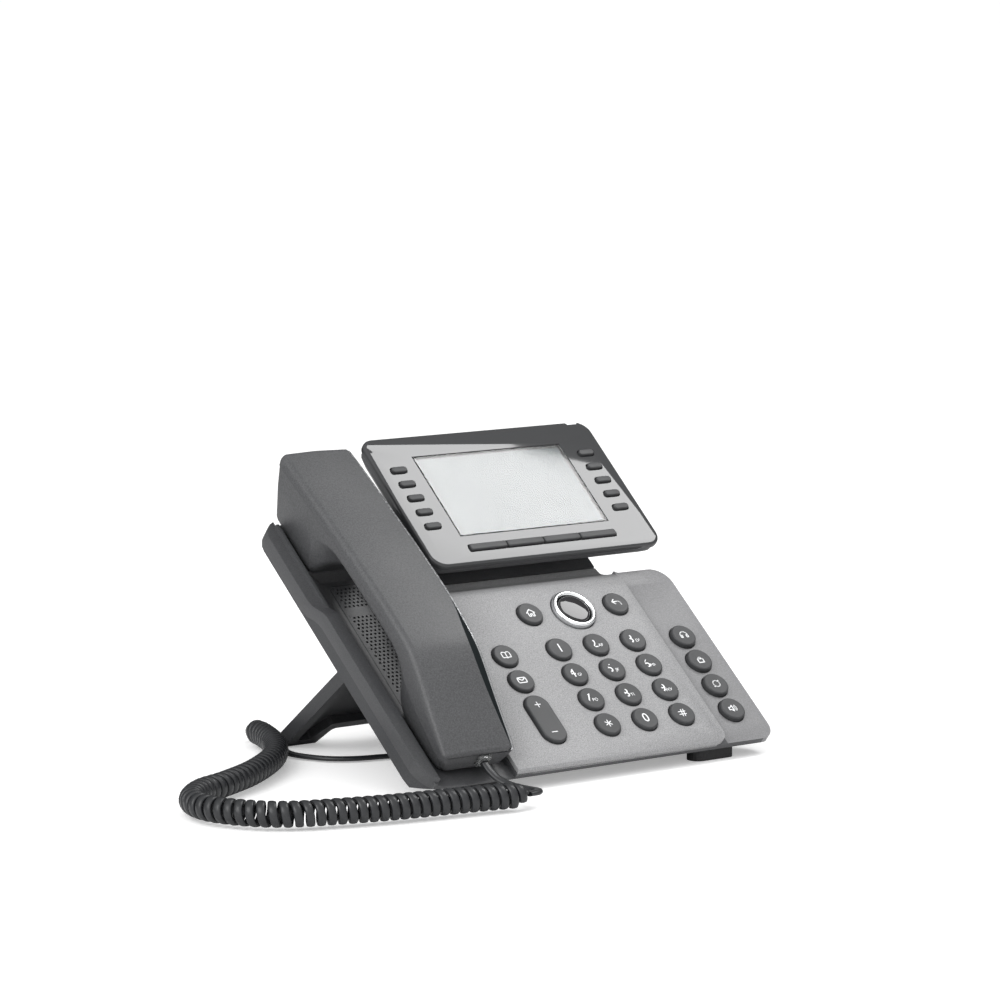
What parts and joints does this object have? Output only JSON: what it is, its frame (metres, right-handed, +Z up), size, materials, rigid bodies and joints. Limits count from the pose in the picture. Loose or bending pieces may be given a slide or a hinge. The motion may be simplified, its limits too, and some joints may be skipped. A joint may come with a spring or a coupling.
{
  "type": "desk IP phone",
  "caption": "Sloping desk telephone with a corded handset in a side cradle, a keypad deck, a tilting colour display with side keys, and a folding rear stand.",
  "frame": {"origin": "centre of the footprint of the phone without its cord, on the desk", "axes": "+X to the user's right along the phone's width, +Y away from the user, +Z up"},
  "size_m": [0.3438, 0.2409, 0.1601],
  "materials": {
    "housing_plastic": "fine-textured charcoal",
    "plate_plastic": "fine metallic grey paint",
    "gloss_grey": "polished dark grey",
    "key_plastic": "smooth dark grey",
    "chrome": "bright plating",
    "gloss_black": "polished black",
    "screen_glass": "clear, polished",
    "lcd": "pale panel",
    "circuit_board": "solder mask",
    "steel": "satin",
    "rubber": "matt",
    "clear_plug": "clear moulding",
    "cord_jacket": "semi-gloss jacket"
  },
  "bodies": {
    "base": {"base_front_housing": "housing_plastic", "base_rear_housing": "housing_plastic", "keypad_plate": "plate_plastic", "speaker_grille": "housing_plastic", "loudspeaker": "steel", "main_pcb": "circuit_board", "front_foot_left": "rubber", "front_foot_right": "rubber", "display_hinge_shaft": "steel", "base_plug": "clear_plug", "cord_coil": "cord_jacket", "cord_lead_handset": "cord_jacket", "cord_lead_base": "cord_jacket"},
    "handset": {"handset_back_shell": "housing_plastic", "handset_face_shell": "housing_plastic", "handset_plug": "clear_plug"},
    "display": {"display_fascia": "gloss_grey", "display_rear_cover": "housing_plastic", "display_window": "screen_glass", "lcd_panel": "lcd"},
    "stand": {"rear_stand": "housing_plastic"},
    "hook": {"hook_switch": "housing_plastic"},
    "volume": {"volume_rocker": "key_plastic"},
    "nav_carrier": {"nav_actuator": "key_plastic"},
    "nav": {"nav_ring": "chrome"},
    "ok": {"ok_button": "gloss_black"},
    "key_1_body": {"key_1": "key_plastic"},
    "key_2_body": {"key_2": "key_plastic"},
    "key_3_body": {"key_3": "key_plastic"},
    "key_4_body": {"key_4": "key_plastic"},
    "key_5_body": {"key_5": "key_plastic"},
    "key_6_body": {"key_6": "key_plastic"},
    "key_7_body": {"key_7": "key_plastic"},
    "key_8_body": {"key_8": "key_plastic"},
    "key_9_body": {"key_9": "key_plastic"},
    "key_star_body": {"key_star": "key_plastic"},
    "key_0_body": {"key_0": "key_plastic"},
    "key_hash_body": {"key_hash": "key_plastic"},
    "key_home_body": {"key_home": "key_plastic"},
    "key_back_body": {"key_back": "key_plastic"},
    "key_phonebook_body": {"key_phonebook": "key_plastic"},
    "key_voicemail_body": {"key_voicemail": "key_plastic"},
    "key_headset_body": {"key_headset": "key_plastic"},
    "key_private_body": {"key_private": "key_plastic"},
    "key_redial_body": {"key_redial": "key_plastic"},
    "key_speaker_body": {"key_speaker": "key_plastic"},
    "line_key_left_1_body": {"line_key_left_1": "key_plastic"},
    "line_key_left_2_body": {"line_key_left_2": "key_plastic"},
    "line_key_left_3_body": {"line_key_left_3": "key_plastic"},
    "line_key_left_4_body": {"line_key_left_4": "key_plastic"},
    "line_key_left_5_body": {"line_key_left_5": "key_plastic"},
    "line_key_right_1_body": {"line_key_right_1": "key_plastic"},
    "line_key_right_2_body": {"line_key_right_2": "key_plastic"},
    "line_key_right_3_body": {"line_key_right_3": "key_plastic"},
    "line_key_right_4_body": {"line_key_right_4": "key_plastic"},
    "line_key_right_5_body": {"line_key_right_5": "key_plastic"},
    "soft_key_1_body": {"soft_key_1": "key_plastic"},
    "soft_key_2_body": {"soft_key_2": "key_plastic"},
    "soft_key_3_body": {"soft_key_3": "key_plastic"},
    "soft_key_4_body": {"soft_key_4": "key_plastic"}
  },
  "joints": [
    {"name": "handset_lift", "type": "slide", "parent": "base", "child": "handset", "axis": [0, -0.6361, 0.7716], "range_m": [0, 0.06]},
    {"name": "hook_travel", "type": "slide", "parent": "base", "child": "hook", "axis": [0, -0.6361, 0.7716], "range_m": [0, 0.003]},
    {"name": "display_tilt", "type": "hinge", "parent": "base", "child": "display", "pos_m": [0.02075, 0.02653, 0.09907], "axis": [1, 0, 0], "range_deg": [0, 15]},
    {"name": "stand_swing", "type": "hinge", "parent": "base", "child": "stand", "pos_m": [0.00005, 0.01565, 0.05096], "axis": [-1, 0, 0], "range_deg": [0, 25]},
    {"name": "volume_rock", "type": "hinge", "parent": "base", "child": "volume", "pos_m": [-0.02425, -0.06567, 0.02825], "axis": [1, 0, 0], "range_deg": [-1.5, 1.5], "stiffness_Nm_per_rad": 0.9},
    {"name": "nav_tilt", "type": "hinge", "parent": "base", "child": "nav_carrier", "pos_m": [0.03525, -0.0133, 0.07272], "axis": [1, 0, 0], "range_deg": [-3, 3], "stiffness_Nm_per_rad": 0.4},
    {"name": "nav_roll", "type": "hinge", "parent": "nav_carrier", "child": "nav", "pos_m": [0.03525, -0.0133, 0.07272], "axis": [0, 0.7716, 0.6361], "range_deg": [-3, 3], "stiffness_Nm_per_rad": 0.4},
    {"name": "ok_press", "type": "slide", "parent": "base", "child": "ok", "axis": [0, 0.6361, -0.7716], "range_m": [0, 0.0008], "stiffness_N_per_m": 300},
    {"name": "key_1_press", "type": "slide", "parent": "base", "child": "key_1_body", "axis": [0, 0.6361, -0.7716], "range_m": [0, 0.0012], "stiffness_N_per_m": 300},
    {"name": "key_2_press", "type": "slide", "parent": "base", "child": "key_2_body", "axis": [0, 0.6361, -0.7716], "range_m": [0, 0.0012], "stiffness_N_per_m": 300},
    {"name": "key_3_press", "type": "slide", "parent": "base", "child": "key_3_body", "axis": [0, 0.6361, -0.7716], "range_m": [0, 0.0012], "stiffness_N_per_m": 300},
    {"name": "key_4_press", "type": "slide", "parent": "base", "child": "key_4_body", "axis": [0, 0.6361, -0.7716], "range_m": [0, 0.0012], "stiffness_N_per_m": 300},
    {"name": "key_5_press", "type": "slide", "parent": "base", "child": "key_5_body", "axis": [0, 0.6361, -0.7716], "range_m": [0, 0.0012], "stiffness_N_per_m": 300},
    {"name": "key_6_press", "type": "slide", "parent": "base", "child": "key_6_body", "axis": [0, 0.6361, -0.7716], "range_m": [0, 0.0012], "stiffness_N_per_m": 300},
    {"name": "key_7_press", "type": "slide", "parent": "base", "child": "key_7_body", "axis": [0, 0.6361, -0.7716], "range_m": [0, 0.0012], "stiffness_N_per_m": 300},
    {"name": "key_8_press", "type": "slide", "parent": "base", "child": "key_8_body", "axis": [0, 0.6361, -0.7716], "range_m": [0, 0.0012], "stiffness_N_per_m": 300},
    {"name": "key_9_press", "type": "slide", "parent": "base", "child": "key_9_body", "axis": [0, 0.6361, -0.7716], "range_m": [0, 0.0012], "stiffness_N_per_m": 300},
    {"name": "key_star_press", "type": "slide", "parent": "base", "child": "key_star_body", "axis": [0, 0.6361, -0.7716], "range_m": [0, 0.0012], "stiffness_N_per_m": 300},
    {"name": "key_0_press", "type": "slide", "parent": "base", "child": "key_0_body", "axis": [0, 0.6361, -0.7716], "range_m": [0, 0.0012], "stiffness_N_per_m": 300},
    {"name": "key_hash_press", "type": "slide", "parent": "base", "child": "key_hash_body", "axis": [0, 0.6361, -0.7716], "range_m": [0, 0.0012], "stiffness_N_per_m": 300},
    {"name": "key_home_press", "type": "slide", "parent": "base", "child": "key_home_body", "axis": [0, 0.6361, -0.7716], "range_m": [0, 0.0012], "stiffness_N_per_m": 300},
    {"name": "key_back_press", "type": "slide", "parent": "base", "child": "key_back_body", "axis": [0, 0.6361, -0.7716], "range_m": [0, 0.0012], "stiffness_N_per_m": 300},
    {"name": "key_phonebook_press", "type": "slide", "parent": "base", "child": "key_phonebook_body", "axis": [0, 0.6361, -0.7716], "range_m": [0, 0.0012], "stiffness_N_per_m": 300},
    {"name": "key_voicemail_press", "type": "slide", "parent": "base", "child": "key_voicemail_body", "axis": [0, 0.6361, -0.7716], "range_m": [0, 0.0012], "stiffness_N_per_m": 300},
    {"name": "key_headset_press", "type": "slide", "parent": "base", "child": "key_headset_body", "axis": [0, 0.6361, -0.7716], "range_m": [0, 0.0012], "stiffness_N_per_m": 300},
    {"name": "key_private_press", "type": "slide", "parent": "base", "child": "key_private_body", "axis": [0, 0.6361, -0.7716], "range_m": [0, 0.0012], "stiffness_N_per_m": 300},
    {"name": "key_redial_press", "type": "slide", "parent": "base", "child": "key_redial_body", "axis": [0, 0.6361, -0.7716], "range_m": [0, 0.0012], "stiffness_N_per_m": 300},
    {"name": "key_speaker_press", "type": "slide", "parent": "base", "child": "key_speaker_body", "axis": [0, 0.6361, -0.7716], "range_m": [0, 0.0012], "stiffness_N_per_m": 300},
    {"name": "line_key_left_1_press", "type": "slide", "parent": "display", "child": "line_key_left_1_body", "axis": [0, 0.6534, -0.757], "range_m": [0, 0.0008], "stiffness_N_per_m": 300},
    {"name": "line_key_left_2_press", "type": "slide", "parent": "display", "child": "line_key_left_2_body", "axis": [0, 0.6534, -0.757], "range_m": [0, 0.0008], "stiffness_N_per_m": 300},
    {"name": "line_key_left_3_press", "type": "slide", "parent": "display", "child": "line_key_left_3_body", "axis": [0, 0.6534, -0.757], "range_m": [0, 0.0008], "stiffness_N_per_m": 300},
    {"name": "line_key_left_4_press", "type": "slide", "parent": "display", "child": "line_key_left_4_body", "axis": [0, 0.6534, -0.757], "range_m": [0, 0.0008], "stiffness_N_per_m": 300},
    {"name": "line_key_left_5_press", "type": "slide", "parent": "display", "child": "line_key_left_5_body", "axis": [0, 0.6534, -0.757], "range_m": [0, 0.0008], "stiffness_N_per_m": 300},
    {"name": "line_key_right_1_press", "type": "slide", "parent": "display", "child": "line_key_right_1_body", "axis": [0, 0.6534, -0.757], "range_m": [0, 0.0008], "stiffness_N_per_m": 300},
    {"name": "line_key_right_2_press", "type": "slide", "parent": "display", "child": "line_key_right_2_body", "axis": [0, 0.6534, -0.757], "range_m": [0, 0.0008], "stiffness_N_per_m": 300},
    {"name": "line_key_right_3_press", "type": "slide", "parent": "display", "child": "line_key_right_3_body", "axis": [0, 0.6534, -0.757], "range_m": [0, 0.0008], "stiffness_N_per_m": 300},
    {"name": "line_key_right_4_press", "type": "slide", "parent": "display", "child": "line_key_right_4_body", "axis": [0, 0.6534, -0.757], "range_m": [0, 0.0008], "stiffness_N_per_m": 300},
    {"name": "line_key_right_5_press", "type": "slide", "parent": "display", "child": "line_key_right_5_body", "axis": [0, 0.6534, -0.757], "range_m": [0, 0.0008], "stiffness_N_per_m": 300},
    {"name": "soft_key_1_press", "type": "slide", "parent": "display", "child": "soft_key_1_body", "axis": [0, 0.6534, -0.757], "range_m": [0, 0.0008], "stiffness_N_per_m": 300},
    {"name": "soft_key_2_press", "type": "slide", "parent": "display", "child": "soft_key_2_body", "axis": [0, 0.6534, -0.757], "range_m": [0, 0.0008], "stiffness_N_per_m": 300},
    {"name": "soft_key_3_press", "type": "slide", "parent": "display", "child": "soft_key_3_body", "axis": [0, 0.6534, -0.757], "range_m": [0, 0.0008], "stiffness_N_per_m": 300},
    {"name": "soft_key_4_press", "type": "slide", "parent": "display", "child": "soft_key_4_body", "axis": [0, 0.6534, -0.757], "range_m": [0, 0.0008], "stiffness_N_per_m": 300}
  ],
  "couplings": [
    {"joint": "hook_travel", "follows": "handset_lift", "ratio": 0.05}
  ]
}
